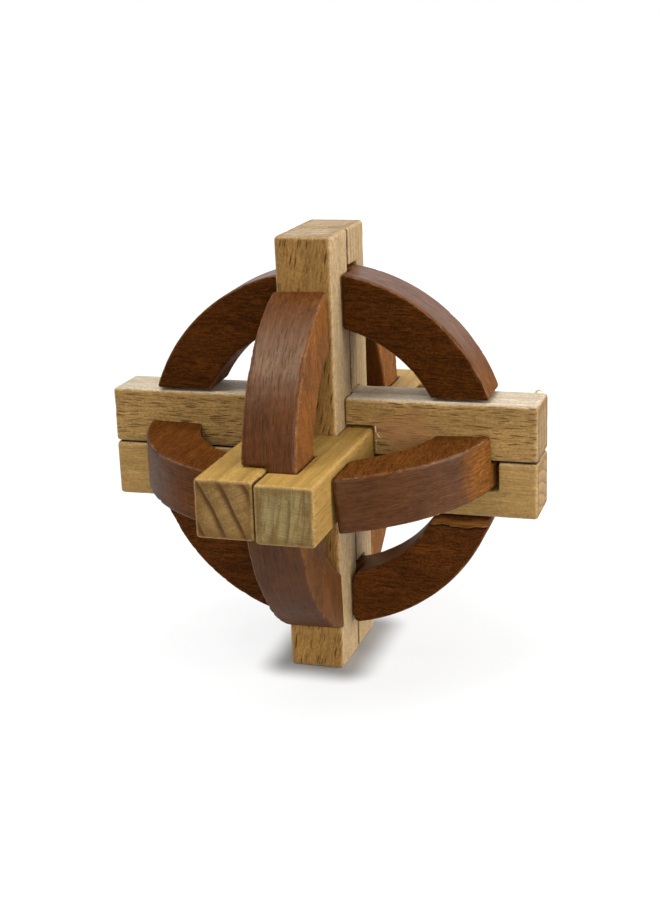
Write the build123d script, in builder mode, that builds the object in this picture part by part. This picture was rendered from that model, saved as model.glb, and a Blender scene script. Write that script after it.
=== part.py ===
from build123d import *
import os

# Wooden burr puzzle: six square bars in three crossing pairs, tied together
# by six half rings.  Millimetres, +Z up, front face towards -Y.
# The origin is the middle of the footprint, on the surface the puzzle stands on.

# ---------------------------------------------------------------- bars
BAR_L = 100.0        # every bar, end to end
BAR_W = 12.8         # planed width and depth of a bar
PITCH = 13.0         # centre distance of the two bars of a pair
HALF = PITCH / 2     # the unit that every notch is a multiple of
BAR_EDGE_R = 0.8     # sanded long edges and ends
FIT = 0.12           # extra on each wall of a notch, so the bars slide
ZC = BAR_L / 2       # height of the middle of the puzzle

# The two through bars rattle a little in their windows.
LEFT_RISE = 0.18     # left through bar sits high
RIGHT_DROP = 0.22    # right through bar sits low
THROUGH_SLIP = 0.2   # right one slid forward, left one slid back
WINDOW_FIT = 0.34    # extra above and below the through bars

# ---------------------------------------------------------------- half rings
RING_RO = 41.2       # outer radius
RING_RI = 29.0       # inner radius
RING_T = 12.1        # thickness
RING_EDGE_R = 0.6    # broken edges
LAP_START = 0.05     # a lap starts just past the seam of its pair
SHOULDER_FIT = 0.2   # air between the shoulders of a lap and the bar

# ring notches, measured from the middle of the puzzle
NOTCH_IN = 28.1
NOTCH_OUT = 41.75
NOTCH_IN_CROSS = 27.4      # in the lower cross bar, whose rings sit further in
NOTCH_OUT_CROSS = 41.3
NOTCH_OUT_LOW = 42.3       # in the foot of the rear upright
NOTCH_DEPTH = 6.75         # past the seam of the pair

SHOULDER = BAR_W / 2 + SHOULDER_FIT    # from the middle of a lap to its shoulders

BIG = 3 * BAR_L            # length of a cut that runs right through

# ================================================================= bars
# Every bar is a square stick with the same sanded edges; the notches are sawn
# after that, so their edges stay crisp.

# front upright: the key, a plain stick with no notch
with BuildPart() as key_bar:
    with BuildSketch(Plane.XY):
        with Locations((0, -HALF)):
            Rectangle(BAR_W, BAR_W)
    extrude(amount=BAR_L)
    fillet(key_bar.edges(), BAR_EDGE_R)
key_bar.part.label = "key_bar"

# rear upright
with BuildPart() as rear_upright_bar:
    with BuildSketch(Plane.XY):
        with Locations((0, HALF)):
            Rectangle(BAR_W, BAR_W)
    extrude(amount=BAR_L)
    fillet(rear_upright_bar.edges(), BAR_EDGE_R)
    # half-depth slots for the necks of the two cross bars
    for side in (1, -1):
        z_lo, z_hi = HALF - FIT, 2 * HALF + FIT
        with Locations((0, (HALF + FIT) / 2, ZC + side * (z_lo + z_hi) / 2)):
            Box(BIG, HALF + FIT, z_hi - z_lo, mode=Mode.SUBTRACT)
    # left half of the middle goes, for the left through bar
    with Locations((-PITCH / 2 + FIT, HALF, ZC)):
        Box(PITCH, BIG, PITCH + 2 * WINDOW_FIT, mode=Mode.SUBTRACT)
    # seats for the laps of the top and bottom rings
    for side, out in ((1, NOTCH_OUT), (-1, NOTCH_OUT_LOW)):
        with Locations((0, NOTCH_DEPTH / 2, ZC + side * (NOTCH_IN + out) / 2)):
            Box(BIG, NOTCH_DEPTH, out - NOTCH_IN, mode=Mode.SUBTRACT)
rear_upright_bar.part.label = "rear_upright_bar"

# upper cross bar
with BuildPart() as upper_cross_bar:
    with BuildSketch(Plane.YZ.offset(-BAR_L / 2)):
        with Locations((0, ZC + HALF)):
            Rectangle(BAR_W, BAR_W)
    extrude(amount=BAR_L)
    fillet(upper_cross_bar.edges(), BAR_EDGE_R)
    # vertical slot for the key
    with Locations((0, -PITCH / 2 + FIT, ZC + HALF)):
        Box(PITCH + 2 * FIT, PITCH, BIG, mode=Mode.SUBTRACT)
    # window over the pair of through bars
    with Locations((0, 0, ZC + (HALF + WINDOW_FIT) / 2)):
        Box(2 * PITCH + 2 * FIT, BIG, HALF + WINDOW_FIT, mode=Mode.SUBTRACT)
upper_cross_bar.part.label = "upper_cross_bar"

# lower cross bar
with BuildPart() as lower_cross_bar:
    with BuildSketch(Plane.YZ.offset(-BAR_L / 2)):
        with Locations((0, ZC - HALF)):
            Rectangle(BAR_W, BAR_W)
    extrude(amount=BAR_L)
    fillet(lower_cross_bar.edges(), BAR_EDGE_R)
    with Locations((0, -PITCH / 2 + FIT, ZC - HALF)):
        Box(PITCH + 2 * FIT, PITCH, BIG, mode=Mode.SUBTRACT)
    with Locations((0, 0, ZC - (HALF + WINDOW_FIT) / 2)):
        Box(2 * PITCH + 2 * FIT, BIG, HALF + WINDOW_FIT, mode=Mode.SUBTRACT)
    # seats for the laps of the left and right rings
    for side in (1, -1):
        with Locations((side * (NOTCH_IN_CROSS + NOTCH_OUT_CROSS) / 2, 0, ZC - NOTCH_DEPTH / 2)):
            Box(NOTCH_OUT_CROSS - NOTCH_IN_CROSS, BIG, NOTCH_DEPTH, mode=Mode.SUBTRACT)
lower_cross_bar.part.label = "lower_cross_bar"

# left through bar: one long notch in its right side, from the front to the
# middle of the puzzle, wide enough for the key
with BuildPart() as left_through_bar:
    with BuildSketch(Plane.XZ.offset(-BAR_L / 2 - THROUGH_SLIP)):
        with Locations((-HALF, ZC + LEFT_RISE)):
            Rectangle(BAR_W, BAR_W)
    extrude(amount=BAR_L)
    fillet(left_through_bar.edges(), BAR_EDGE_R)
    with Locations((-(HALF + FIT) / 2, -HALF, ZC)):
        Box(HALF + FIT, PITCH + 2 * FIT, BIG, mode=Mode.SUBTRACT)
left_through_bar.part.label = "left_through_bar"

# right through bar: a double-length notch in its left side, and the seats for
# the laps of the front and back rings
with BuildPart() as right_through_bar:
    with BuildSketch(Plane.XZ.offset(-BAR_L / 2 + THROUGH_SLIP)):
        with Locations((HALF, ZC - RIGHT_DROP)):
            Rectangle(BAR_W, BAR_W)
    extrude(amount=BAR_L)
    fillet(right_through_bar.edges(), BAR_EDGE_R)
    with Locations(((HALF + FIT) / 2, 0, ZC)):
        Box(HALF + FIT, 2 * PITCH + 2 * FIT, BIG, mode=Mode.SUBTRACT)
    for side in (1, -1):
        with Locations((NOTCH_DEPTH / 2, side * (NOTCH_IN + NOTCH_OUT) / 2, ZC)):
            Box(NOTCH_DEPTH, NOTCH_OUT - NOTCH_IN, BIG, mode=Mode.SUBTRACT)
right_through_bar.part.label = "right_through_bar"

# ================================================================= half rings
# Each ring lies in the middle plane of a pair of bars.  In its own plane local x
# runs along the chord, local y from the middle of the puzzle to the crown, and
# local z across the thickness.  The rings are a little loose, so each one sits
# with a small shift (mm) and tilt (degrees about X, Y, Z) of its own.


def ring_plane(along, across, shift, tilt):
    turn = Location((0, 0, 0), tilt)
    x_dir = (turn * Location(along)).position
    z_dir = (turn * Location(across)).position
    return Plane(origin=(shift[0], shift[1], ZC + shift[2]), x_dir=x_dir, z_dir=z_dir)


TOP_PLANE = ring_plane((-1, 0, 0), (0, 1, 0), (0.15, 0.35, 0.25), (1.3, 0, 0.8))
BOTTOM_PLANE = ring_plane((1, 0, 0), (0, 1, 0), (0.35, -0.2, -0.6), (0.7, 0, 0.6))
FRONT_PLANE = ring_plane((0, 0, 1), (1, 0, 0), (0.1, -0.3, -0.5), (0, -1.2, 0.4))
BACK_PLANE = ring_plane((0, 0, -1), (1, 0, 0), (0.05, 0.2, -0.2), (0, 0.5, -0.3))
RIGHT_PLANE = ring_plane((0, -1, 0), (0, 0, 1), (-0.7, -0.1, -1.5), (0.8, -2.2, 0))
LEFT_PLANE = ring_plane((0, 1, 0), (0, 0, 1), (0.4, -0.5, -0.75), (1.1, 0.8, 0))

# local y of the sawn ends, which butt against the neighbouring pair
TOP_END = 13.25
BOTTOM_END = 12.9
FRONT_END = 13.25
BACK_END = 13.25
RIGHT_END = 14.1
LEFT_END = 13.9

# top ring: the front half of its crown is cut away for the key
with BuildPart() as top_ring:
    with BuildSketch(TOP_PLANE):
        Circle(RING_RO)
        Circle(RING_RI, mode=Mode.SUBTRACT)
        with Locations((0, TOP_END - RING_RO)):
            Rectangle(3 * RING_RO, 2 * RING_RO, mode=Mode.SUBTRACT)
    extrude(amount=RING_T / 2, both=True)
    with Locations((0, LAP_START - RING_T / 2, ZC + RING_RO)):
        Box(2 * SHOULDER, RING_T, RING_RO, mode=Mode.SUBTRACT)
    fillet(top_ring.edges().filter_by(lambda e: not (abs(abs(e.center().X) - SHOULDER) < 0.05
                                                and abs(e.center().Y - LAP_START) < 0.05)), RING_EDGE_R)
top_ring.part.label = "top_ring"

# bottom ring: the same, under the middle
with BuildPart() as bottom_ring:
    with BuildSketch(BOTTOM_PLANE):
        Circle(RING_RO)
        Circle(RING_RI, mode=Mode.SUBTRACT)
        with Locations((0, BOTTOM_END - RING_RO)):
            Rectangle(3 * RING_RO, 2 * RING_RO, mode=Mode.SUBTRACT)
    extrude(amount=RING_T / 2, both=True)
    with Locations((0, LAP_START - RING_T / 2, ZC - RING_RO)):
        Box(2 * SHOULDER, RING_T, RING_RO, mode=Mode.SUBTRACT)
    fillet(bottom_ring.edges().filter_by(lambda e: not (abs(abs(e.center().X) - SHOULDER) < 0.05
                                                   and abs(e.center().Y - LAP_START) < 0.05)), RING_EDGE_R)
bottom_ring.part.label = "bottom_ring"

# front ring: the left half of its crown is cut away for the left through bar
with BuildPart() as front_ring:
    with BuildSketch(FRONT_PLANE):
        Circle(RING_RO)
        Circle(RING_RI, mode=Mode.SUBTRACT)
        with Locations((0, FRONT_END - RING_RO)):
            Rectangle(3 * RING_RO, 2 * RING_RO, mode=Mode.SUBTRACT)
    extrude(amount=RING_T / 2, both=True)
    with Locations((LAP_START - RING_T / 2, -RING_RO, ZC + LEFT_RISE)):
        Box(RING_T, RING_RO, 2 * SHOULDER, mode=Mode.SUBTRACT)
    fillet(front_ring.edges().filter_by(lambda e: not (abs(abs(e.center().Z - ZC - LEFT_RISE) - SHOULDER) < 0.05
                                                  and abs(e.center().X - LAP_START) < 0.05)), RING_EDGE_R)
front_ring.part.label = "front_ring"

# back ring: the same, behind the middle
with BuildPart() as back_ring:
    with BuildSketch(BACK_PLANE):
        Circle(RING_RO)
        Circle(RING_RI, mode=Mode.SUBTRACT)
        with Locations((0, BACK_END - RING_RO)):
            Rectangle(3 * RING_RO, 2 * RING_RO, mode=Mode.SUBTRACT)
    extrude(amount=RING_T / 2, both=True)
    with Locations((LAP_START - RING_T / 2, RING_RO, ZC + LEFT_RISE)):
        Box(RING_T, RING_RO, 2 * SHOULDER, mode=Mode.SUBTRACT)
    fillet(back_ring.edges().filter_by(lambda e: not (abs(abs(e.center().Z - ZC - LEFT_RISE) - SHOULDER) < 0.05
                                                 and abs(e.center().X - LAP_START) < 0.05)), RING_EDGE_R)
back_ring.part.label = "back_ring"

# right ring: the upper half of its crown is cut away for the upper cross bar
with BuildPart() as right_ring:
    with BuildSketch(RIGHT_PLANE):
        Circle(RING_RO)
        Circle(RING_RI, mode=Mode.SUBTRACT)
        with Locations((0, RIGHT_END - RING_RO)):
            Rectangle(3 * RING_RO, 2 * RING_RO, mode=Mode.SUBTRACT)
    extrude(amount=RING_T / 2, both=True)
    with Locations((RING_RO, 0, ZC - LAP_START + RING_T / 2)):
        Box(RING_RO, 2 * SHOULDER, RING_T, mode=Mode.SUBTRACT)
    fillet(right_ring.edges().filter_by(lambda e: not (abs(abs(e.center().Y) - SHOULDER) < 0.05
                                                  and abs(e.center().Z - ZC + LAP_START) < 0.05)), RING_EDGE_R)
right_ring.part.label = "right_ring"

# left ring: the same, on the left
with BuildPart() as left_ring:
    with BuildSketch(LEFT_PLANE):
        Circle(RING_RO)
        Circle(RING_RI, mode=Mode.SUBTRACT)
        with Locations((0, LEFT_END - RING_RO)):
            Rectangle(3 * RING_RO, 2 * RING_RO, mode=Mode.SUBTRACT)
    extrude(amount=RING_T / 2, both=True)
    with Locations((-RING_RO, 0, ZC - LAP_START + RING_T / 2)):
        Box(RING_RO, 2 * SHOULDER, RING_T, mode=Mode.SUBTRACT)
    fillet(left_ring.edges().filter_by(lambda e: not (abs(abs(e.center().Y) - SHOULDER) < 0.05
                                                 and abs(e.center().Z - ZC + LAP_START) < 0.05)), RING_EDGE_R)
left_ring.part.label = "left_ring"

# ================================================================= files
os.makedirs("parts", exist_ok=True)
export_step(key_bar.part, "parts/key_bar.step")
export_step(rear_upright_bar.part, "parts/rear_upright_bar.step")
export_step(upper_cross_bar.part, "parts/upper_cross_bar.step")
export_step(lower_cross_bar.part, "parts/lower_cross_bar.step")
export_step(left_through_bar.part, "parts/left_through_bar.step")
export_step(right_through_bar.part, "parts/right_through_bar.step")
export_step(top_ring.part, "parts/top_ring.step")
export_step(bottom_ring.part, "parts/bottom_ring.step")
export_step(front_ring.part, "parts/front_ring.step")
export_step(back_ring.part, "parts/back_ring.step")
export_step(left_ring.part, "parts/left_ring.step")
export_step(right_ring.part, "parts/right_ring.step")
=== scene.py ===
import math

import bpy
import bmesh
import numpy as np
from mathutils import Matrix, Vector


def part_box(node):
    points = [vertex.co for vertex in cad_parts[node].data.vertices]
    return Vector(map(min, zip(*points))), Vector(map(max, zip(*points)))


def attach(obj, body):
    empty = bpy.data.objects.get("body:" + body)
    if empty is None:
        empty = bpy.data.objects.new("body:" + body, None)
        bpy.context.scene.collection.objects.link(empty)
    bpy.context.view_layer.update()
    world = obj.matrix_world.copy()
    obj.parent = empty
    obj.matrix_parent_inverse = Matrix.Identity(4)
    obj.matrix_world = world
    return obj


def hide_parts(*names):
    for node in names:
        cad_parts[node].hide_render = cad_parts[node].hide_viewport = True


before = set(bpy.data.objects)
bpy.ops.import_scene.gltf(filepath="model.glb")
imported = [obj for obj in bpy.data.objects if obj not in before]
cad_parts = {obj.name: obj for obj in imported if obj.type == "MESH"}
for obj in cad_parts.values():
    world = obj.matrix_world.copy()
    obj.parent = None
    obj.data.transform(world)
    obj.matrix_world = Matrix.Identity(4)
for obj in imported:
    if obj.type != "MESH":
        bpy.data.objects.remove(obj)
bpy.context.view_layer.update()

# ------------------------------------------------------------------ the frame
# Everything below works in the row frame, in metres: the bars' common middle is
# 50 mm above the floor, the bars are 12.8 mm square, the pairs are on a 13 mm pitch.
MM = 0.001
CENTRE = Vector((0.0, 0.0, 0.05))
HALF = 6.5 * MM


# ------------------------------------------------------------------ camera
AZ, EL, ROLL = math.radians(17.678), math.radians(16.6111), math.radians(-1.9886)
DIST, SIDE, LIFT = 54.1431 * HALF, 0.107 * HALF, -0.2016 * HALF
back = Vector((math.sin(AZ) * math.cos(EL), -math.cos(AZ) * math.cos(EL), math.sin(EL)))
right = Vector((math.cos(AZ), math.sin(AZ), 0.0))
up = back.cross(right)
r2 = math.cos(ROLL) * right + math.sin(ROLL) * up
u2 = -math.sin(ROLL) * right + math.cos(ROLL) * up
cam_data = bpy.data.cameras.new("camera")
cam_data.sensor_fit = "AUTO"
cam_data.sensor_width = 36.0
cam_data.lens = 61.109
cam_data.clip_start = 0.01
cam_data.clip_end = 100.0
camera = bpy.data.objects.new("camera", cam_data)
bpy.context.scene.collection.objects.link(camera)
spot = CENTRE + DIST * back + SIDE * r2 + LIFT * u2
camera.matrix_world = Matrix((
    (r2.x, u2.x, back.x, spot.x),
    (r2.y, u2.y, back.y, spot.y),
    (r2.z, u2.z, back.z, spot.z),
    (0, 0, 0, 1)))
bpy.context.scene.camera = camera


# ------------------------------------------------------------------ node helper
class Nodes:
    """Short ways to wire a node tree."""

    def __init__(self, tree):
        self.tree = tree
        tree.nodes.clear()

    def add(self, kind, **settings):
        n = self.tree.nodes.new(kind)
        for k, v in settings.items():
            setattr(n, k, v)
        return n

    def put(self, socket, value):
        if isinstance(value, bpy.types.NodeSocket):
            self.tree.links.new(value, socket)
        elif value is not None:
            if socket.type == "RGBA" and len(value) == 3:
                value = (*value, 1.0)
            socket.default_value = value

    def math(self, op, a, b=None, c=None, clamp=False):
        n = self.add("ShaderNodeMath", operation=op, use_clamp=clamp)
        for i, v in enumerate((a, b, c)):
            if v is not None:
                self.put(n.inputs[i], v)
        return n.outputs[0]

    def vec(self, op, a, b=None):
        n = self.add("ShaderNodeVectorMath", operation=op)
        self.put(n.inputs[0], a)
        if op == "SCALE":
            self.put(n.inputs["Scale"], b)
        elif b is not None:
            self.put(n.inputs[1], b)
        return n.outputs["Value"] if op in ("DOT_PRODUCT", "LENGTH", "DISTANCE") else n.outputs[0]

    def xyz(self, x=0.0, y=0.0, z=0.0):
        n = self.add("ShaderNodeCombineXYZ")
        for i, v in enumerate((x, y, z)):
            self.put(n.inputs[i], v)
        return n.outputs[0]

    def noise(self, v, scale=1.0, detail=2.0, rough=0.5, twist=0.0, lac=2.0):
        n = self.add("ShaderNodeTexNoise")
        self.put(n.inputs["Vector"], v)
        n.inputs["Scale"].default_value = scale
        n.inputs["Detail"].default_value = detail
        n.inputs["Roughness"].default_value = rough
        n.inputs["Lacunarity"].default_value = lac
        n.inputs["Distortion"].default_value = twist
        return n.outputs[0]

    def cells(self, v, scale=1.0, feature="F1", random=1.0):
        n = self.add("ShaderNodeTexVoronoi", feature=feature)
        self.put(n.inputs["Vector"], v)
        n.inputs["Scale"].default_value = scale
        n.inputs["Randomness"].default_value = random
        return n.outputs[0]

    def flecks(self, along, across, lo, hi, keep, point=1.35):
        """Spindle-shaped flecks, at most one to a cell of a flat pattern, each of its own size and strength."""
        n = self.add("ShaderNodeTexVoronoi", feature="F1", voronoi_dimensions="2D", distance="MINKOWSKI")
        self.put(n.inputs["Vector"], self.xyz(along, across, 0.0))
        n.inputs["Scale"].default_value = 1.0
        n.inputs["Exponent"].default_value = point
        split = self.add("ShaderNodeSeparateColor")
        self.put(split.inputs[0], n.outputs["Color"])
        size = self.math("MULTIPLY_ADD", split.outputs[0], hi - lo, lo)
        body = self.span(self.math("DIVIDE", n.outputs["Distance"], size), 0.60, 0.95, 1.0, 0.0)
        some = self.math("LESS_THAN", split.outputs[1], keep)
        return self.math("MULTIPLY", self.math("MULTIPLY", body, some), self.math("MULTIPLY_ADD", split.outputs[2], 0.55, 0.45))

    def span(self, v, a, b, c=0.0, d=1.0, smooth=True):
        n = self.add("ShaderNodeMapRange", interpolation_type="SMOOTHSTEP" if smooth else "LINEAR")
        for i, x in enumerate((v, a, b, c, d)):
            self.put(n.inputs[i], x)
        return n.outputs[0]

    def ramp(self, v, *stops):
        n = self.add("ShaderNodeValToRGB")
        r = n.color_ramp
        while len(r.elements) > len(stops):
            r.elements.remove(r.elements[-1])
        while len(r.elements) < len(stops):
            r.elements.new(1.0)
        for e, (p, c) in zip(r.elements, stops):
            e.position = p
            e.color = (*c, 1.0) if len(c) == 3 else c
        self.put(n.inputs[0], v)
        return n.outputs[0]

    def mix(self, f, a, b, blend="MIX"):
        n = self.add("ShaderNodeMix", data_type="RGBA", blend_type=blend)
        self.put(n.inputs[0], f)
        self.put(n.inputs[6], a)
        self.put(n.inputs[7], b)
        return n.outputs[2]

    def bump(self, height, strength, distance, normal=None):
        n = self.add("ShaderNodeBump")
        n.inputs["Strength"].default_value = strength
        n.inputs["Distance"].default_value = distance
        self.put(n.inputs["Height"], height)
        if normal is not None:
            self.put(n.inputs["Normal"], normal)
        return n.outputs[0]


def material(name):
    m = bpy.data.materials.new(name)
    m.use_nodes = True
    return m, Nodes(m.node_tree)


def finish_material(t, colour, rough, normal, spec=0.5, coat=0.0, coat_rough=0.3, sheen=0.0, tint=(1.0, 1.0, 1.0)):
    p = t.add("ShaderNodeBsdfPrincipled")
    t.put(p.inputs["Base Color"], colour)
    t.put(p.inputs["Roughness"], rough)
    t.put(p.inputs["Normal"], normal)
    p.inputs["IOR"].default_value = 1.5
    t.put(p.inputs["Specular IOR Level"], spec)
    p.inputs["Specular Tint"].default_value = (*tint, 1.0)
    p.inputs["Coat Weight"].default_value = coat
    p.inputs["Coat Roughness"].default_value = coat_rough
    p.inputs["Sheen Weight"].default_value = sheen
    out = t.add("ShaderNodeOutputMaterial")
    t.tree.links.new(p.outputs[0], out.inputs[0])
    return p


def own_coords(t, axes, origin):
    """Millimetres along the piece's own grain, radial and tangential directions."""
    tc = t.add("ShaderNodeTexCoord")
    p = t.vec("SCALE", t.vec("SUBTRACT", tc.outputs["Object"], tuple(origin)), 1000.0)
    out = [t.vec("DOT_PRODUCT", p, tuple(a)) for a in axes]
    n = [t.vec("DOT_PRODUCT", tc.outputs["Normal"], tuple(a)) for a in axes]
    return out, n


# ------------------------------------------------------------------ beech
def shade(c, k):
    return tuple(x * k for x in c)


# the axis along which the bars of a pair lie side by side
PAIR = {"key_bar": 1, "rear_upright_bar": 1, "upper_cross_bar": 2, "lower_cross_bar": 2, "left_through_bar": 0, "right_through_bar": 0}


def beech(name, node, grain, radial, seed, face, side, end, rings=2.6, pith=60.0, ring_dark=0.25, fleck=0.8,
          end_rings=0.5, line=0.05, end_patch=0.0, shift=0.0, soiled=0.50, thin=1.6, painted_light_by_height=None, wobble=0.35, edge_tone=(0.46, 0.32, 0.165), blush=None, keep=0.62, lines=1.0):
    """Beech, solid through the piece.  grain and radial are unit vectors in the row frame.
    face is the colour of the faces that look along the radial direction, side of the two others, end of the sawn ends.
    rings is the width of a year in mm, pith how far off the tree's middle lies, fleck how dark the short ray marks are,
    keep how many of them there are, lines how strong the fine grain is."""
    g, r = Vector(grain).normalized(), Vector(radial).normalized()
    q = g.cross(r)
    lo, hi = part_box(node)
    mid = (lo + hi) / 2
    m, t = material(name)
    (G, R, Q), (ng, nr, nq) = own_coords(t, (g, r, q), mid)
    s = float(seed)
    mul, add, sub = (lambda a, b: t.math("MULTIPLY", a, b)), (lambda a, b: t.math("ADD", a, b)), (lambda a, b: t.math("SUBTRACT", a, b))
    # slow wander of the fibres
    slow = t.noise(t.xyz(t.math("MULTIPLY_ADD", G, 0.022, s), mul(R, 0.11), mul(Q, 0.11)), 1.0, 2.0, 0.5)
    drift = mul(sub(slow, 0.5), 6.0 * wobble)
    lean = t.math("MULTIPLY_ADD", slow, 1.6, Q)
    # the years: distance from the pith, which lies off to one side
    rr = add(R, pith)
    dist = t.math("SQRT", add(mul(rr, rr), mul(Q, Q)))
    years = add(t.math("DIVIDE", add(dist, drift), rings), s * 0.37 + shift)
    phase = t.math("FRACT", years)
    late = t.span(phase, 1.0 - 6.0 * line, 1.0 - line * 0.6)
    year = t.math("MAXIMUM", mul(t.math("POWER", late, 2.5), 0.95), mul(t.span(phase, 0.0, line * 0.8, 1.0, 0.0), 0.95))
    year_id = t.noise(t.xyz(t.math("FLOOR", years), s, 0.0), 0.73, 0.0)
    # long fibre streaks, grain lines, vessels
    streak = t.noise(t.xyz(t.math("MULTIPLY_ADD", G, 0.03, s * 1.7), mul(R, 0.5), mul(lean, 0.5)), 1.0, 3.0, 0.6)
    coarse = t.noise(t.xyz(t.math("MULTIPLY_ADD", G, 0.06, s * 2.3), mul(R, 1.5), mul(lean, 1.5)), 1.0, 2.0, 0.75)
    fine = t.noise(t.xyz(t.math("MULTIPLY_ADD", G, 0.25, s * 2.9), mul(R, 2.3), mul(lean, 2.3)), 1.0, 1.0, 0.6)
    grit = t.noise(t.xyz(mul(G, 1.5), mul(R, 2.1), t.math("MULTIPLY_ADD", Q, 2.1, s)), 1.0, 1.0, 0.65)
    # rays: thin across the grain, a few mm along it, running in towards the pith
    wave = mul(t.noise(t.xyz(t.math("MULTIPLY_ADD", G, 0.13, s), 0.0, mul(Q, 0.3)), 1.0, 1.0, 0.5), 1.1)
    across = add(lean, wave)
    patchy = t.span(t.noise(t.xyz(t.math("MULTIPLY_ADD", G, 0.08, s * 7.7), mul(R, 0.1), mul(lean, 0.22)), 1.0, 1.0, 0.5), 0.34, 0.60, 0.60, 1.0)
    f1 = t.flecks(t.math("MULTIPLY_ADD", G, 0.20, s * 3.1), mul(across, thin), 0.27, 0.50, mul(patchy, keep))
    f2 = t.flecks(t.math("MULTIPLY_ADD", G, 0.42, s * 4.9), t.math("MULTIPLY_ADD", across, 2.7, 11.3), 0.20, 0.45, mul(patchy, keep * 0.6))
    f3 = t.flecks(t.math("MULTIPLY_ADD", G, 0.105, s * 6.3), t.math("MULTIPLY_ADD", across, 1.15, 5.7), 0.16, 0.30, keep * 0.45)
    rays = t.math("MAXIMUM", t.math("MAXIMUM", f1, f3), mul(f2, 0.5))
    # how the surface lies in the wood
    ends = t.span(t.math("ABSOLUTE", ng), 0.55, 0.92)
    flat = t.span(t.math("ABSOLUTE", nr), 0.45, 0.85)
    # colours of the long faces
    def tones(c):
        return t.ramp(streak, (0.28, shade(c, 0.88)), (0.5, c), (0.75, (c[0] * 1.09, c[1] * 1.12, c[2] * 1.18)))
    base = t.mix(flat, tones(side), tones(face))
    base = t.vec("SCALE", base, t.span(coarse, 0.30, 0.70, 1.0 - 0.08 * lines, 1.0 + 0.08 * lines, False))
    base = t.vec("SCALE", base, t.span(fine, 0.30, 0.70, 1.0 - 0.18 * lines, 1.0 + 0.18 * lines, False))
    base = t.vec("SCALE", base, t.span(grit, 0.30, 0.70, 1.0 - 0.20 * lines, 1.0 + 0.20 * lines, False))
    if painted_light_by_height:
        # painted light: the faces that look along the radial direction are painted lighter low down and a touch darker
        # high up
        rise = t.add("ShaderNodeSeparateXYZ")
        t.put(rise.inputs[0], t.add("ShaderNodeTexCoord").outputs["Object"])
        base = t.vec("SCALE", base, add(1.0, mul(flat, t.span(rise.outputs[2], *painted_light_by_height))))
    base = t.mix(mul(year, ring_dark), base, shade(face, 0.48))
    base = t.mix(mul(t.span(year_id, 0.35, 0.65), 0.14), base, shade(face, 0.72))
    base = t.mix(mul(rays, t.math("MULTIPLY_ADD", flat, fleck * 0.90, fleck * 0.06)), base, (face[0] * 0.25, face[1] * 0.18, face[2] * 0.12))
    pores = t.flecks(t.math("MULTIPLY_ADD", G, 0.55, s * 8.1), mul(add(lean, R), 2.6), 0.08, 0.30, 0.40)
    base = t.mix(mul(pores, 0.30 * lines), base, shade(side, 0.45))
    if blush:
        at, size, c = blush
        away = t.vec("LENGTH", t.vec("MULTIPLY", t.vec("SUBTRACT", t.add("ShaderNodeTexCoord").outputs["Object"], at), tuple(1.0 / x for x in size)))
        base = t.mix(mul(t.span(add(away, mul(sub(slow, 0.5), 1.2)), 0.3, 1.0, 1.0, 0.0), 0.68), base, c)
    # the sawn ends are darker, and show the years and the rays as lines
    e0 = t.ramp(phase, (0.0, shade(end, 0.76)), (0.35, shade(end, 0.92)), (0.85, shade(end, 1.12)), (1.0, shade(end, 0.95)))
    e_ray = t.noise(t.xyz(mul(G, 0.05), mul(R, 0.16), mul(Q, 1.7)), 1.0, 3.0, 0.6)
    e0 = t.vec("SCALE", e0, t.span(e_ray, 0.3, 0.7, 0.80, 1.22, False))
    e_pore = t.noise(t.xyz(mul(G, 0.3), mul(R, 1.9), mul(Q, 1.9)), 1.0, 2.0, 0.7)
    e0 = t.vec("SCALE", e0, t.span(e_pore, 0.3, 0.7, 1.24, 0.76, False))
    if end_patch:
        bars = t.noise(t.xyz(mul(G, 0.05), mul(R, 1.00), mul(Q, 0.13)), 1.0, 3.0, 0.7, twist=0.5)
        cross = t.noise(t.xyz(mul(G, 0.05), mul(R, 0.35), mul(Q, 0.80)), 1.0, 2.0, 0.6)
        e0 = t.mix(mul(t.span(bars, 0.40, 0.62), end_patch), e0, (end[0] * 1.10, end[1] * 1.32, end[2] * 1.65))
        e0 = t.mix(mul(t.span(bars, 0.49, 0.38), end_patch), e0, (end[0] * 0.70, end[1] * 0.68, end[2] * 0.56))
        e0 = t.mix(mul(t.span(cross, 0.50, 0.64), end_patch * 0.40), e0, (end[0] * 0.80, end[1] * 0.78, end[2] * 0.70))
    e0 = t.mix(mul(year, end_rings), e0, (end[0] * 0.24, end[1] * 0.15, end[2] * 0.08))
    colour = t.mix(ends, base, e0)
    # handled edges are burnished paler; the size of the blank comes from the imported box
    size = (hi - lo) * 500.0
    tc = t.add("ShaderNodeTexCoord")
    sep = t.add("ShaderNodeSeparateXYZ")
    t.put(sep.inputs[0], t.vec("SCALE", t.vec("SUBTRACT", tc.outputs["Object"], tuple(mid)), 1000.0))
    d = [sub(size[i], t.math("ABSOLUTE", sep.outputs[i])) for i in range(3)]
    low = t.math("MINIMUM", t.math("MINIMUM", d[0], d[1]), d[2])
    high = t.math("MAXIMUM", t.math("MAXIMUM", d[0], d[1]), d[2])
    second = sub(sub(add(add(d[0], d[1]), d[2]), low), high)
    rub = t.noise(t.xyz(*[mul(sep.outputs[i], 0.35) for i in range(3)]), 1.0, 3.0, 0.6)
    soil = mul(mul(t.span(add(second, mul(sub(rub, 0.5), 5.0)), 0.8, 2.0 + 1.2 * soiled, 1.0, 0.0), ends), soiled)
    colour = t.mix(soil, colour, (end[0] * 0.50, end[1] * 0.39, end[2] * 0.22))
    edge = mul(t.span(second, 0.20, 0.85, 1.0, 0.0), t.span(rub, 0.30, 0.60, 0.45, 1.0))
    colour = t.mix(mul(edge, 0.62), colour, t.vec("SCALE", edge_tone, t.span(grit, 0.3, 0.7, 0.75, 1.25, False)))
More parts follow.
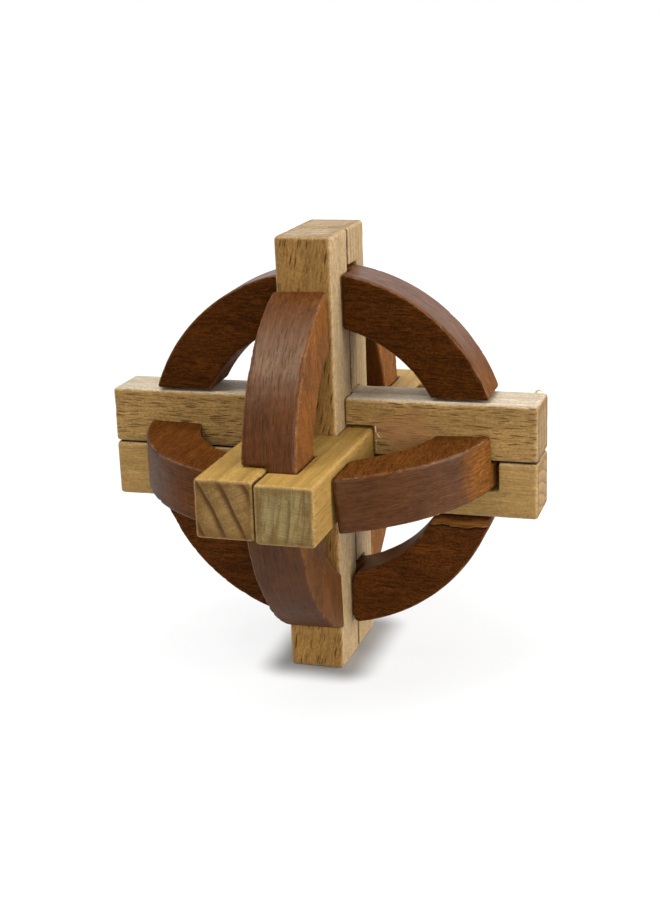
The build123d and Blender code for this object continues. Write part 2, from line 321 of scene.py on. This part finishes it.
    # painted shade, with some dust, in the seam to the other bar of the pair, where the real gap is too thin to show
    side_on = PAIR[node]
    off = t.math("ABSOLUTE", sub(sep.outputs[side_on], (CENTRE[side_on] - mid[side_on]) * 1000.0))
    if side_on == 1:
        # the uprights carry more of it down their sides than on top
        off = mul(off, t.math("MULTIPLY_ADD", ends, 0.50, 0.50))
    seam_dust_and_shade = mul(t.span(add(off, mul(sub(rub, 0.5), 0.15)), 0.14, 0.36, 1.0, 0.0), t.span(second, 0.9, 1.5, 1.0, 0.0))
    colour = t.mix(mul(seam_dust_and_shade, 0.88), colour, (0.048, 0.026, 0.010))
    rough = add(t.span(fine, 0.3, 0.75, 0.50, 0.66, False), mul(ends, 0.10))
    height = sub(mul(fine, 0.9), mul(rays, 0.75))
    height = add(height, mul(coarse, 0.8))
    height = sub(height, mul(pores, 0.45))
    nrm = t.bump(height, 0.6, 0.00018)
    wavy = t.noise(t.xyz(*[mul(sep.outputs[i], 0.16) for i in range(3)]), 1.0, 1.0, 0.5)
    nrm = t.bump(wavy, 0.35, 0.0006, nrm)
    finish_material(t, colour, rough, nrm, spec=0.20)
    return m


# ------------------------------------------------------------------ stained rings
def turn_matrix(tilt):
    """The rings' small tilts, in degrees about X, then Y, then Z of the turned frame."""
    a, b, c = (math.radians(x) for x in tilt)
    return Matrix.Rotation(a, 3, "X") @ Matrix.Rotation(b, 3, "Y") @ Matrix.Rotation(c, 3, "Z")


RINGS = {
    "top_ring": ((-1, 0, 0), (0, 1, 0), (0.15, 0.35, 0.25), (1.3, 0, 0.8), 13.25),
    "bottom_ring": ((1, 0, 0), (0, 1, 0), (0.35, -0.2, -0.6), (0.7, 0, 0.6), 12.9),
    "front_ring": ((0, 0, 1), (1, 0, 0), (0.1, -0.3, -0.5), (0, -1.2, 0.4), 13.25),
    "back_ring": ((0, 0, -1), (1, 0, 0), (0.05, 0.2, -0.2), (0, 0.5, -0.3), 13.25),
    "right_ring": ((0, -1, 0), (0, 0, 1), (-0.7, -0.1, -1.5), (0.8, -2.2, 0), 14.1),
    "left_ring": ((0, 1, 0), (0, 0, 1), (0.4, -0.5, -0.75), (1.1, 0.8, 0), 13.9),
}
RING_RO, RING_RI, RING_T = 41.2, 29.0, 12.1


def ring_frame(node):
    along, across, shift, tilt, end = RINGS[node]
    turn = turn_matrix(tilt)
    x = (turn @ Vector(along)).normalized()
    z = (turn @ Vector(across)).normalized()
    y = z.cross(x)
    return x, y, z, CENTRE + Vector(shift) * MM, end


def stained(name, node, seed, flat_tone=(0.083, 0.0245, 0.0042), arc_tone=(0.094, 0.0275, 0.0055), tip_tone=(0.150, 0.053, 0.0110),
            gloss=0.40, sheen=0.40, blotch=0.42, torn=False, matt=0.05, grain=1.0, facing_v=0.0, low=1.0, dull=0.62):
    """Dark red-brown stain over a fine-grained wood.  The flat faces are sawn and matt, the turned inside and
    outside are sanded smooth and take a soft warm shine, and where they cut across the fibres near the sawn
    ends the stain has soaked in, redder and matt; on the right ring that brighter tip tone is painted instead on the
    faces that look towards the right lamp, as painted light.  The rims are worn in a few places."""
    x, y, z, mid, end = ring_frame(node)
    m, t = material(name)
    (G, V, W), (ng, nv, nw) = own_coords(t, (x, y, z), mid)
    s = float(seed)
    mul, add, sub = (lambda a, b: t.math("MULTIPLY", a, b)), (lambda a, b: t.math("ADD", a, b)), (lambda a, b: t.math("SUBTRACT", a, b))
    slow = t.noise(t.xyz(t.math("MULTIPLY_ADD", G, 0.03, s), mul(V, 0.13), mul(W, 0.13)), 1.0, 2.0, 0.5)
    # painted light where the tip mask follows the faces that look along V: on the right ring these face the right lamp
    ends = t.span(t.math("ABSOLUTE", t.math("MULTIPLY_ADD", nv, facing_v, mul(ng, 1.0 - facing_v))), 0.83 if facing_v else 0.72, 0.905 if facing_v else 0.96)
    flat = t.span(t.math("ABSOLUTE", nw), 0.60, 0.90)
    rad = t.math("SQRT", add(mul(G, G), mul(V, V)))
    # the sawn faces show the fibres straight; the turned ones are sanded along the arc and streaked that way
    turned = sub(1.0, flat)
    V2 = add(mul(add(V, mul(slow, 4.0)), flat), mul(add(rad, slow), turned))
    straight = G
    G = add(mul(G, flat), mul(mul(t.math("ARCTAN2", G, V), RING_RO), turned))
    band = t.noise(t.xyz(t.math("MULTIPLY_ADD", G, 0.03, s * 1.3), mul(V2, 0.5), mul(W, 0.55)), 1.0, 3.0, 0.6)
    coarse = t.noise(t.xyz(t.math("MULTIPLY_ADD", G, 0.075, s * 1.9), mul(V2, 1.25), mul(W, 1.25)), 1.0, 2.0, 0.7)
    fine = t.noise(t.xyz(t.math("MULTIPLY_ADD", G, 0.42, s * 2.1), mul(V2, 2.9), mul(W, 2.9)), 1.0, 1.0, 0.6)
    speck = t.noise(t.xyz(mul(G, t.math("MULTIPLY_ADD", turned, -1.4, 2.0)), mul(V2, 2.6), t.math("MULTIPLY_ADD", W, 2.6, s)), 1.0, 2.0, 0.7)
    blot = t.noise(t.xyz(mul(G, 0.085), mul(V, 0.12), t.math("MULTIPLY_ADD", W, 0.12, s * 5.0)), 1.0, 3.0, 0.6)
    pore = t.noise(t.xyz(t.math("MULTIPLY_ADD", G, 0.33, s * 3.7), mul(V2, 3.0), mul(W, 3.0)), 1.0, 1.0, 0.5, twist=0.2)
    pore = t.span(pore, 0.56, 0.70)
    # the turned faces are smoother than the sawn ones
    keen = t.math("MULTIPLY_ADD", mul(turned, sub(1.0, mul(ends, 0.7))), -0.48, 1.0)
    def swing(v, amount, where):
        return t.math("MULTIPLY_ADD", t.span(v, 0.30, 0.70, -amount, amount, False), where, 1.0)
    base = t.mix(flat, t.mix(ends, arc_tone, tip_tone), flat_tone)
    if low < 1.0:
        height = t.add("ShaderNodeSeparateXYZ")
        t.put(height.inputs[0], t.add("ShaderNodeTexCoord").outputs["Object"])
        base = t.vec("SCALE", base, sub(1.0, mul(flat, t.span(height.outputs[2], 0.025, 0.060, 1.0 - low, 0.0))))
    colour = t.vec("SCALE", base, t.span(band, 0.30, 0.70, 1.0 - 0.16 * grain, 1.0 + 0.16 * grain, False))
    colour = t.vec("SCALE", colour, swing(coarse, 0.30 * grain, t.math("MULTIPLY_ADD", flat, 0.10, 0.50)))
    colour = t.vec("SCALE", colour, swing(fine, 0.38 * grain, keen))
    colour = t.mix(mul(mul(t.span(speck, 0.52, 0.68), keen), 0.62), colour, t.vec("MULTIPLY", base, (1.9, 2.0, 2.1)))
    colour = t.mix(mul(mul(t.span(speck, 0.47, 0.34), keen), 0.50), colour, t.vec("MULTIPLY", base, (0.38, 0.34, 0.32)))
    colour = t.mix(mul(mul(pore, keen), 0.45 * grain), colour, t.vec("MULTIPLY", base, (0.22, 0.19, 0.20)))
    colour = t.mix(mul(t.span(blot, 0.47, 0.68), blotch), colour, t.vec("MULTIPLY", colour, (0.55, 0.52, 0.58)))
    colour = t.mix(mul(t.span(blot, 0.46, 0.28), blotch), colour, t.vec("MULTIPLY", colour, (1.32, 1.22, 1.02)))
    # distance to the rims, from the ring's radii and thickness
    G = straight
    d_r = t.math("MINIMUM", sub(RING_RO, rad), sub(rad, RING_RI))
    d_w = sub(RING_T / 2, t.math("ABSOLUTE", W))
    d_e = sub(V, end)
    low = t.math("MINIMUM", t.math("MINIMUM", d_r, d_w), d_e)
    high = t.math("MAXIMUM", t.math("MAXIMUM", d_r, d_w), d_e)
    second = sub(sub(add(add(d_r, d_w), d_e), low), high)
    rub = t.noise(t.xyz(mul(G, 0.30), mul(V, 0.30), t.math("MULTIPLY_ADD", W, 0.30, s)), 1.0, 5.0, 0.75)
    worn = t.span(second, 0.10, 0.60, 1.0, 0.0)
    colour = t.mix(mul(mul(worn, t.span(rub, 0.40, 0.56)), 0.60), colour, (0.235, 0.098, 0.034))
    colour = t.mix(mul(mul(worn, t.span(rub, 0.595, 0.63)), 0.75), colour, (0.34, 0.195, 0.080))
    if torn:
        wave = add(mul(t.math("SINE", mul(G, 0.62)), 0.24), mul(t.math("SINE", t.math("MULTIPLY_ADD", G, 1.7, 1.0)), 0.10))
        off = sub(sub(V, end + 2.35), wave)
        here = mul(t.span(G, 20.0, 21.0), mul(flat, t.span(W, -3.0, -4.0)))
        above = mul(t.span(off, 0.0, -0.25), t.span(off, -2.0, -1.3))
        colour = t.mix(mul(mul(above, here), 0.85), colour, t.vec("SCALE", (0.215, 0.080, 0.016), t.span(coarse, 0.3, 0.7, 0.5, 1.5, False)))
        lip = t.span(t.math("ABSOLUTE", add(off, 0.20)), 0.06, 0.26, 1.0, 0.0)
        torn_bits = add(t.span(speck, 0.50, 0.60, 0.0, 0.55), t.span(G, 33.0, 37.5, 0.0, 0.45))
        colour = t.mix(mul(mul(lip, here), torn_bits), colour, (0.42, 0.23, 0.10))
        # painted shade: a near-black line along the crack, for the shade inside it
        gap = t.span(t.math("ABSOLUTE", sub(off, 0.18)), 0.05, 0.24, 1.0, 0.0)
        colour = t.mix(mul(mul(gap, here), 0.85), colour, (0.014, 0.006, 0.002))
    rough = add(t.mix(flat, t.mix(ends, (gloss, gloss, gloss), (0.60, 0.60, 0.60)), (dull, dull, dull)), t.span(speck, 0.3, 0.7, -0.05, 0.09, False))
    height = add(mul(fine, 0.7), mul(coarse, 0.9))
    height = sub(height, mul(pore, 0.9))
    height = add(height, mul(speck, 0.6))
    nrm = t.bump(mul(height, t.math("MULTIPLY_ADD", flat, 0.84, 0.16)), 0.6, 0.0002)
    wavy = t.noise(t.xyz(mul(G, 0.15), mul(V, 0.15), t.math("MULTIPLY_ADD", W, 0.15, s)), 1.0, 2.0, 0.5)
    nrm = t.bump(wavy, 0.4, 0.0008, nrm)
    shine = mul(t.span(coarse, 0.38, 0.62, 0.84, 1.14, False), t.math("MULTIPLY_ADD", pore, -0.35, 1.0))
    shine = mul(shine, t.math("MULTIPLY_ADD", ends, -0.75, 1.0))
    spec = t.mix(flat, mul(shine, sheen), (matt, matt, matt))
    finish_material(t, colour, rough, nrm, spec=spec, tint=(1.0, 0.80, 0.56))
    return m


OLIVE, PALE = (0.310, 0.160, 0.039), (0.440, 0.307, 0.162)
OCHRE, HONEY = (0.39, 0.228, 0.051), (0.36, 0.205, 0.049)
LOOKS = {
    # the key's front and back are painted lighter below its middle and a touch darker at the top: painted light
    "key_bar": beech("beech_key", "key_bar", (0.15, 0, 1), (0.06, 1, 0), 3.1, OLIVE, PALE, (0.39, 0.285, 0.170), fleck=1.0, keep=0.42, ring_dark=0.10,
                     painted_light_by_height=(0.050, 0.088, 0.17, -0.07)),
    "rear_upright_bar": beech("beech_rear_upright", "rear_upright_bar", (0, 0, 1), (0.2, 1, 0), 7.4, shade(OLIVE, 1.05), (0.44, 0.305, 0.16),
                              (0.39, 0.28, 0.16), rings=2.1, ring_dark=0.45, fleck=0.7),
    # its top and bottom faces take the paler, greyer side colour: partly wood tone, partly a painted sheen on the top
    # face
    "upper_cross_bar": beech("beech_upper_cross", "upper_cross_bar", (1, 0, 0), (0, 1, 0.12), 11.9, (0.345, 0.200, 0.061), (0.52, 0.435, 0.31),
                             (0.33, 0.215, 0.10), fleck=1.0, keep=0.52, thin=2.2, rings=3.1, ring_dark=0.10,
                             blush=((0.021, -0.0064, 0.055), (0.009, 0.02, 0.011), (0.33, 0.150, 0.055))),
    "lower_cross_bar": beech("beech_lower_cross", "lower_cross_bar", (1, 0, 0), (0, 0.3, 1), 15.2, (0.365, 0.219, 0.069), (0.365, 0.217, 0.067),
                             (0.36, 0.23, 0.10), fleck=0.70, keep=0.40, thin=2.2, ring_dark=0.10, lines=0.8),
    "left_through_bar": beech("beech_left_through", "left_through_bar", (0, 1, 0), (0.89, 0, 0.45), 19.6, shade(OCHRE, 0.94), shade(OCHRE, 0.94), (0.268, 0.152, 0.047),
                              rings=4.3, line=0.085, shift=0.23, ring_dark=0.45, end_rings=0.95, fleck=0.3, lines=0.55, edge_tone=(0.42, 0.27, 0.10)),
    "right_through_bar": beech("beech_right_through", "right_through_bar", (0, 1, 0), (1, 0, -0.12), 23.3, HONEY, OCHRE, (0.275, 0.178, 0.060),
                               rings=3.0, line=0.10, ring_dark=0.3, end_rings=0.35, end_patch=0.85, soiled=0.52, fleck=0.3, lines=0.45, edge_tone=(0.42, 0.27, 0.10)),
    "top_ring": stained("stain_top", "top_ring", 2.2, flat_tone=(0.063, 0.0180, 0.0023), sheen=0.34),
    "bottom_ring": stained("stain_bottom", "bottom_ring", 5.5, torn=True),
    "front_ring": stained("stain_front", "front_ring", 8.1, flat_tone=(0.195, 0.064, 0.0100), arc_tone=(0.082, 0.0225, 0.0036), tip_tone=(0.105, 0.032, 0.0050), sheen=0.46, matt=0.38, dull=0.48,
                          grain=0.8, blotch=0.60, low=0.52),
    "back_ring": stained("stain_back", "back_ring", 12.4, flat_tone=(0.200, 0.080, 0.0230)),
    "left_ring": stained("stain_left", "left_ring", 16.3, flat_tone=(0.100, 0.0300, 0.0044), arc_tone=(0.080, 0.0235, 0.0048), tip_tone=(0.100, 0.031, 0.0060), grain=0.8, matt=0.03),
    # the right ring's outer face, where it looks towards +X and the right lamp, is painted in the brighter tip tone:
    # painted light
    "right_ring": stained("stain_right", "right_ring", 24.6, flat_tone=(0.100, 0.0320, 0.0050), arc_tone=(0.070, 0.0200, 0.0040), tip_tone=(0.185, 0.066, 0.0120), sheen=0.36, grain=0.8, matt=0.03, facing_v=0.92),
}

TORN, t = material("beech_torn_fibre")
tc = t.vec("SCALE", t.add("ShaderNodeTexCoord").outputs["Object"], 1000.0)
tone = t.noise(tc, 3.5, 2.0, 0.6)
finish_material(t, t.ramp(tone, (0.30, (0.50, 0.36, 0.19)), (0.70, (0.78, 0.64, 0.42))), 0.7, t.bump(tone, 0.5, 0.0001), spec=0.15)

# ------------------------------------------------------------------ geometry
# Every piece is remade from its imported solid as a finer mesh: edges eased and chipped where hands and
# neighbours have rubbed them, faces a touch uneven from sanding, torn fibres where the saw came out.
def hashed(i, j, k, seed):
    h = (i * np.int64(73856093)) ^ (j * np.int64(19349663)) ^ (k * np.int64(83492791)) ^ np.int64(seed * 2654435)
    h = h & np.int64(0x7fffffff)
    h = (h * np.int64(1103515245) + np.int64(12345)) & np.int64(0x7fffffff)
    h = h ^ (h >> np.int64(15))
    h = (h * np.int64(69069) + np.int64(1)) & np.int64(0x7fffffff)
    return ((h >> np.int64(8)) & np.int64(0xffff)).astype(float) / 65535.0


def value_noise(p, freq, seed, octaves=2):
    """Smooth lattice noise, 0 to 1, at points p in mm."""
    total, weight, amount = np.zeros(len(p)), 0.0, 1.0
    for n in range(octaves):
        q = p * freq * (2 ** n) + 17.3 * (n + 1)
        i = np.floor(q).astype(np.int64)
        f = q - i
        f = f * f * (3 - 2 * f)
        v = np.zeros(len(p))
        for a in (0, 1):
            for b in (0, 1):
                for c in (0, 1):
                    w = (f[:, 0] if a else 1 - f[:, 0]) * (f[:, 1] if b else 1 - f[:, 1]) * (f[:, 2] if c else 1 - f[:, 2])
                    v += w * hashed(i[:, 0] + a, i[:, 1] + b, i[:, 2] + c, seed + n)
        total += amount * v
        weight += amount
        amount *= 0.5
    return total / weight


def step(x, a, b):
    t = np.clip((x - a) / (b - a), 0, 1)
    return t * t * (3 - 2 * t)


def middle(a, b, c):
    return a + b + c - np.minimum(np.minimum(a, b), c) - np.maximum(np.maximum(a, b), c)


def evaluated(o):
    bpy.context.view_layer.update()
    return bpy.data.meshes.new_from_object(o.evaluated_get(bpy.context.evaluated_depsgraph_get()))


def fine_mesh(node, voxel):
    o = bpy.data.objects.new("work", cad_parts[node].data.copy())
    bpy.context.scene.collection.objects.link(o)
    o.data.materials.clear()
    r = o.modifiers.new("remesh", "REMESH")
    r.mode, r.voxel_size, r.use_smooth_shade = "VOXEL", voxel, True
    sm = o.modifiers.new("smooth", "SMOOTH")
    sm.factor, sm.iterations = 0.5, 2
    mesh = evaluated(o)
    bpy.data.objects.remove(o)
    n = len(mesh.vertices)
    co, nor = np.empty(n * 3), np.empty(n * 3)
    mesh.vertices.foreach_get("co", co)
    mesh.vertex_normals.foreach_get("vector", nor)
    return mesh, co.reshape(-1, 3) * 1000.0, nor.reshape(-1, 3)


def round_corner(a, b, r):
    """a and b are depths inside two faces that meet; returns them with the corner rounded to radius r."""
    x, y = r - a, r - b
    d = np.sqrt(x * x + y * y) + 1e-9
    hit = (a < r) & (b < r) & (d > r)
    return np.where(hit, r - x * r / d, a), np.where(hit, r - y * r / d, b)


def splinter(path, radius, sides=5):
    """A tapered sliver of wood along a few points in mm, closed at both ends."""
    pts = [Vector(p) for p in path]
    verts, faces = [], []
    n = len(pts)
    for i, p in enumerate(pts):
        d = (pts[min(i + 1, n - 1)] - pts[max(i - 1, 0)]).normalized()
        side = d.cross(Vector((0.3, 0.9, 0.2))).normalized()
        other = d.cross(side)
        r = radius * (1.0 - 0.92 * (i / (n - 1)) ** 1.3)
        for k in range(sides):
            w = 2 * math.pi * k / sides
            verts.append(p + side * (math.cos(w) * r) + other * (math.sin(w) * r * 0.55))
    for i in range(n - 1):
        for k in range(sides):
            a, b = i * sides + k, i * sides + (k + 1) % sides
            faces.append((a, b, b + sides, a + sides))
    faces.append(tuple(reversed(range(sides))))
    faces.append(tuple(range((n - 1) * sides, n * sides)))
    return verts, faces


def finish_piece(name, node, mesh, co, mat, keep, slivers=()):
    mesh.vertices.foreach_set("co", (co / 1000.0).ravel())
    mesh.update()
    o = bpy.data.objects.new("work", mesh)
    bpy.context.scene.collection.objects.link(o)
    dec = o.modifiers.new("decimate", "DECIMATE")
    dec.decimate_type, dec.ratio = "COLLAPSE", keep
    final = evaluated(o)
    bpy.data.objects.remove(o)
    if slivers:
        bm = bmesh.new()
        bm.from_mesh(final)
        for verts, faces in slivers:
            vs = [bm.verts.new(v / 1000.0) for v in verts]
            for f in faces:
                bm.faces.new([vs[i] for i in f]).material_index = 1
        bmesh.ops.recalc_face_normals(bm, faces=bm.faces[:])
        bm.to_mesh(final)
        bm.free()
    final.name = name
    final.shade_smooth()
    piece = bpy.data.objects.new(name, final)
    bpy.context.scene.collection.objects.link(piece)
    w = piece.modifiers.new("even_normals", "WEIGHTED_NORMAL")
    w.mode, w.weight, w.keep_sharp = "FACE_AREA", 50, False
    final.materials.append(mat)
    if slivers:
        final.materials.append(TORN)
    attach(piece, "key" if node == "key_bar" else "burr")
    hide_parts(node)
    return piece


def make_bar(node, mat, seed, slivers=(), voxel=0.00030, keep=0.30):
    mesh, p, n = fine_mesh(node, voxel)
    lo, hi = (np.array(c) * 1000.0 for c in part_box(node))
    mid, size = (lo + hi) / 2, (hi - lo) / 2
    d = size - np.abs(p - mid)
    edge = middle(d[:, 0], d[:, 1], d[:, 2])
    rub = value_noise(p, 0.28, seed, 3)
    chip = step(rub, 0.60, 0.72) * (1 - step(edge, 0.25, 1.0))
    nick = step(value_noise(p, 0.9, seed + 5, 2), 0.70, 0.80) * (1 - step(edge, 0.2, 0.75))
    wave = value_noise(p, 0.085, seed + 9, 2) - 0.5
    inside = 1 - step(edge, 0.2, 1.2)
    push = -0.17 * chip - 0.13 * nick + 0.05 * np.minimum(wave, 0.0) * (1 - inside)
    p = p + n * push[:, None]
    return finish_piece(node + "_wood", node, mesh, p, mat, keep, slivers)


def make_ring(node, mat, seed, shape=None, voxel=0.00030, keep=0.30):
    mesh, p, n = fine_mesh(node, voxel)
    x, y, z, mid, end = ring_frame(node)
    axes = np.array([x, y, z])
    q = (p - np.array(mid) * 1000.0) @ axes.T
    if shape:
        q = shape(q, end)
    u, v, w = q.T
    r = np.hypot(u, v)
    d_r, d_w, d_e = np.minimum(RING_RO - r, r - RING_RI), RING_T / 2 - np.abs(w), v - end
    edge = middle(d_r, d_w, d_e)
    m = q @ axes
    nl = n
    rub = value_noise(m, 0.30, seed, 3)
    chip = step(rub, 0.57, 0.70) * (1 - step(edge, 0.2, 0.95))
    nick = step(value_noise(m, 1.0, seed + 5, 2), 0.66, 0.78) * (1 - step(edge, 0.15, 0.65))
    wave = value_noise(m, 0.10, seed + 9, 2) - 0.5
    inside = 1 - step(edge, 0.2, 1.2)
    push = -0.22 * chip - 0.17 * nick + 0.07 * np.minimum(wave, 0.0) * (1 - inside)
    p = m + np.array(mid) * 1000.0 + nl * push[:, None]
    return finish_piece(node + "_wood", node, mesh, p, mat, keep)


def bottom_shape(q, end):
    """The lap shoulder beside the key is well rounded, and the saw tore a strip off the front face by the right end."""
    u, v, w = q[:, 0].copy(), q[:, 1].copy(), q[:, 2].copy()
    r = np.hypot(u, v)
    front = w < 0.2
    for ro, sign, rad in ((RING_RO, 1, 1.7), (RING_RI, -1, 1.9)):
        a, b = u - 6.6, sign * (ro - r)
        a2, b2 = round_corner(a, b, rad)
        hit = front & (u > 6.0) & ((a2 != a) | (b2 != b))
        r_new = ro - sign * b2
        u_new = 6.6 + a2
        u = np.where(hit, u_new, u)
        v = np.where(hit, np.sqrt(np.maximum(r_new ** 2 - u_new ** 2, 1.0)), v)
        r = np.hypot(u, v)
    crack = end + 2.35 + 0.24 * np.sin(0.62 * u) + 0.10 * np.sin(1.7 * u + 1.0)
    face = (u > 20) & (w < -RING_T / 2 + 0.9)
    strip = step(crack - v, -0.15, 0.15) * face
    groove = np.exp(-((v - crack - 0.15) / 0.30) ** 2) * face * step(value_noise(q, 0.8, 31, 2), 0.20, 0.40)
    w = w + 0.18 * strip + 0.50 * groove
    return np.stack([u, v, w], 1)


def right_shape(q, end):
    """The sawn end by the front pair is rounded off towards its lower corner."""
    u, v, w = q[:, 0].copy(), q[:, 1].copy(), q[:, 2].copy()
    r = np.hypot(u, v)
    rad = 0.7 + 1.7 * step(-w, -3.0, 6.0)
    a, b = v - end, RING_RO - r
    a2, b2 = round_corner(a, b, rad)
    hit = (u > 25) & ((a2 != a) | (b2 != b))
    r_new = RING_RO - b2
    v_new = end + a2
    v = np.where(hit, v_new, v)
    u = np.where(hit, np.sqrt(np.maximum(r_new ** 2 - v_new ** 2, 1.0)), u)
    return np.stack([u, v, w], 1)


# torn fibres: beside the window of the upper cross bar, and a curled burr on its right end
wx, wy = 13.36, -6.42
SLIVERS = {"upper_cross_bar": [
    splinter([(wx + 0.05, wy + 0.15, 56.7), (wx + 0.22, wy - 0.18, 56.1), (wx + 0.36, wy - 0.24, 55.5), (wx + 0.30, wy - 0.20, 54.9)], 0.26),
    splinter([(wx + 0.50, wy + 0.15, 54.9), (wx + 0.80, wy - 0.22, 54.65), (wx + 1.12, wy - 0.30, 54.4), (wx + 1.50, wy - 0.22, 54.1)], 0.34),
    splinter([(wx + 0.15, wy + 0.15, 53.6), (wx + 0.25, wy - 0.12, 53.3), (wx + 0.35, wy - 0.16, 52.8)], 0.15),
    splinter([(wx + 0.15, wy + 0.15, 51.7), (wx + 0.35, wy - 0.14, 51.4), (wx + 0.62, wy - 0.18, 51.0)], 0.18),
    splinter([(47.2, 5.6, 62.6), (47.5, 5.75, 63.2), (48.0, 5.8, 63.5), (48.6, 5.75, 63.35), (48.9, 5.6, 62.8)], 0.32),
    splinter([(47.6, 4.6, 62.6), (48.1, 4.5, 63.0), (48.7, 4.4, 62.95)], 0.24),
    splinter([(47.8, 3.2, 62.6), (48.3, 3.1, 62.95), (48.8, 3.0, 62.85)], 0.20),
]}
SHAPES = {"bottom_ring": bottom_shape, "right_ring": right_shape}

for i, (name, mat) in enumerate(LOOKS.items()):
    if name.endswith("_bar"):
        make_bar(name, mat, 100 + 13 * i, SLIVERS.get(name, ()))
    else:
        make_ring(name, mat, 100 + 13 * i, SHAPES.get(name))

# ------------------------------------------------------------------ floor
def disc(name, radius, z=0.0):
    bm = bmesh.new()
    bmesh.ops.create_circle(bm, cap_ends=True, segments=96, radius=radius)
    mesh = bpy.data.meshes.new(name)
    bm.to_mesh(mesh)
    bm.free()
    o = bpy.data.objects.new(name, mesh)
    o.location.z = z
    bpy.context.scene.collection.objects.link(o)
    return o


def from_foot(t, place):
    """How far a point of the floor is from the feet of the two uprights, a rectangle of 12.8 by 25.8 mm."""
    away = t.vec("MAXIMUM", t.vec("SUBTRACT", t.vec("ABSOLUTE", place), (0.0064, 0.0129, 1.0)), (0.0, 0.0, 0.0))
    return t.vec("LENGTH", away)


def painted_floor_glow(t, d, r):
    """Painted light: the sheet glows though it is no lamp, not at the foot, more a few mm off, fully from a metre out,
    so that it stays white and the broad shadow is washed out while a tight shadow shows around the foot.
    """
    return t.math("ADD", t.span(d, 0.0008, 0.0095, 0.0, 0.80), t.span(r, 0.10, 1.0, 0.0, 0.24))


# the white sheet that is looked at
floor = disc("floor", 6.05)
m, t = material("floor_white")
place = t.add("ShaderNodeTexCoord").outputs["Object"]
tone = t.noise(place, 3.0, 2.0, 0.5)
gap = from_foot(t, place)
near = t.span(gap, 0.0008, 0.0095, 0.50, 0.21)
p = finish_material(t, t.vec("SCALE", t.ramp(tone, (0.0, (0.93, 0.93, 0.93)), (1.0, (0.96, 0.96, 0.96))), near), 0.8, None, spec=0.05)
p.inputs["Emission Color"].default_value = (1, 1, 1, 1)
t.put(p.inputs["Emission Strength"], painted_floor_glow(t, gap, t.vec("LENGTH", place)))
floor.data.materials.append(m)
for ray in ("diffuse", "glossy", "transmission", "volume_scatter", "shadow"):
    setattr(floor, "visible_" + ray, False)

# the table under the sheet, which gives the object its light from below
table = disc("table", 4.0, -0.0002)
m, t = material("table_grey")
place = t.add("ShaderNodeTexCoord").outputs["Object"]
tone = t.noise(place, 3.0, 2.0, 0.5)
tone = t.ramp(tone, (0.0, (0.50, 0.50, 0.50)), (1.0, (0.54, 0.54, 0.54)))
finish_material(t, t.vec("SCALE", tone, t.span(t.vec("LENGTH", place), 0.10, 0.30, 1.0, 0.28)), 0.9, None, spec=0.05)
table.data.materials.append(m)
table.visible_camera = False

# a plain white surround, only there to be looked at: it gives the object no light
bm = bmesh.new()
bmesh.ops.create_icosphere(bm, subdivisions=5, radius=6.0)
mesh = bpy.data.meshes.new("backdrop")
bm.to_mesh(mesh)
bm.free()
backdrop = bpy.data.objects.new("backdrop", mesh)
bpy.context.scene.collection.objects.link(backdrop)
m, t = material("backdrop_white")
e = t.add("ShaderNodeEmission")
e.inputs[0].default_value = (1, 1, 1, 1)
e.inputs[1].default_value = 1.0
t.tree.links.new(e.outputs[0], t.add("ShaderNodeOutputMaterial").inputs[0])
mesh.materials.append(m)
for ray in ("diffuse", "glossy", "transmission", "volume_scatter", "shadow"):
    setattr(backdrop, "visible_" + ray, False)

# ------------------------------------------------------------------ light
world = bpy.data.worlds.new("studio")
bpy.context.scene.world = world
world.use_nodes = True
t = Nodes(world.node_tree)
bg = t.add("ShaderNodeBackground")
bg.inputs[0].default_value = (1.0, 1.0, 1.0, 1.0)
bg.inputs[1].default_value = 0.20
out = t.add("ShaderNodeOutputWorld")
t.tree.links.new(bg.outputs[0], out.inputs[0])


def softbox(name, at, size, power, colour=(1, 1, 1), look_at=CENTRE):
    d = bpy.data.lights.new(name, "AREA")
    d.shape = "RECTANGLE"
    d.size, d.size_y = size
    d.energy = power
    d.color = colour
    o = bpy.data.objects.new(name, d)
    bpy.context.scene.collection.objects.link(o)
    o.location = at
    o.rotation_euler = (Vector(look_at) - Vector(at)).to_track_quat("-Z", "Y").to_euler()
    o.visible_camera = False
    return o


softbox("top_softbox", (-0.05, 0.0, 0.85), (0.75, 0.65), 5.1)
softbox("sheen_softbox", (-0.31, -0.42, 0.85), (0.28, 0.34), 3.2)
softbox("right_softbox", (0.85, 0.05, 0.28), (0.60, 0.50), 7.9, (1.0, 0.98, 0.95))
softbox("left_softbox", (-0.85, 0.10, 0.30), (0.55, 0.45), 1.35)
softbox("front_softbox", (0.36, -1.00, 0.33), (0.60, 0.45), 3.3)
softbox("low_front_softbox", (0.22, -0.90, 0.12), (0.45, 0.18), 1.1)
softbox("back_softbox", (0.0, 1.10, 0.45), (1.60, 0.80), 4.4)

# how the picture is developed: plain display curve
view = bpy.context.scene.view_settings
view.view_transform = "Standard"
view.look = "None"
view.exposure = 0.0
view.gamma = 1.0
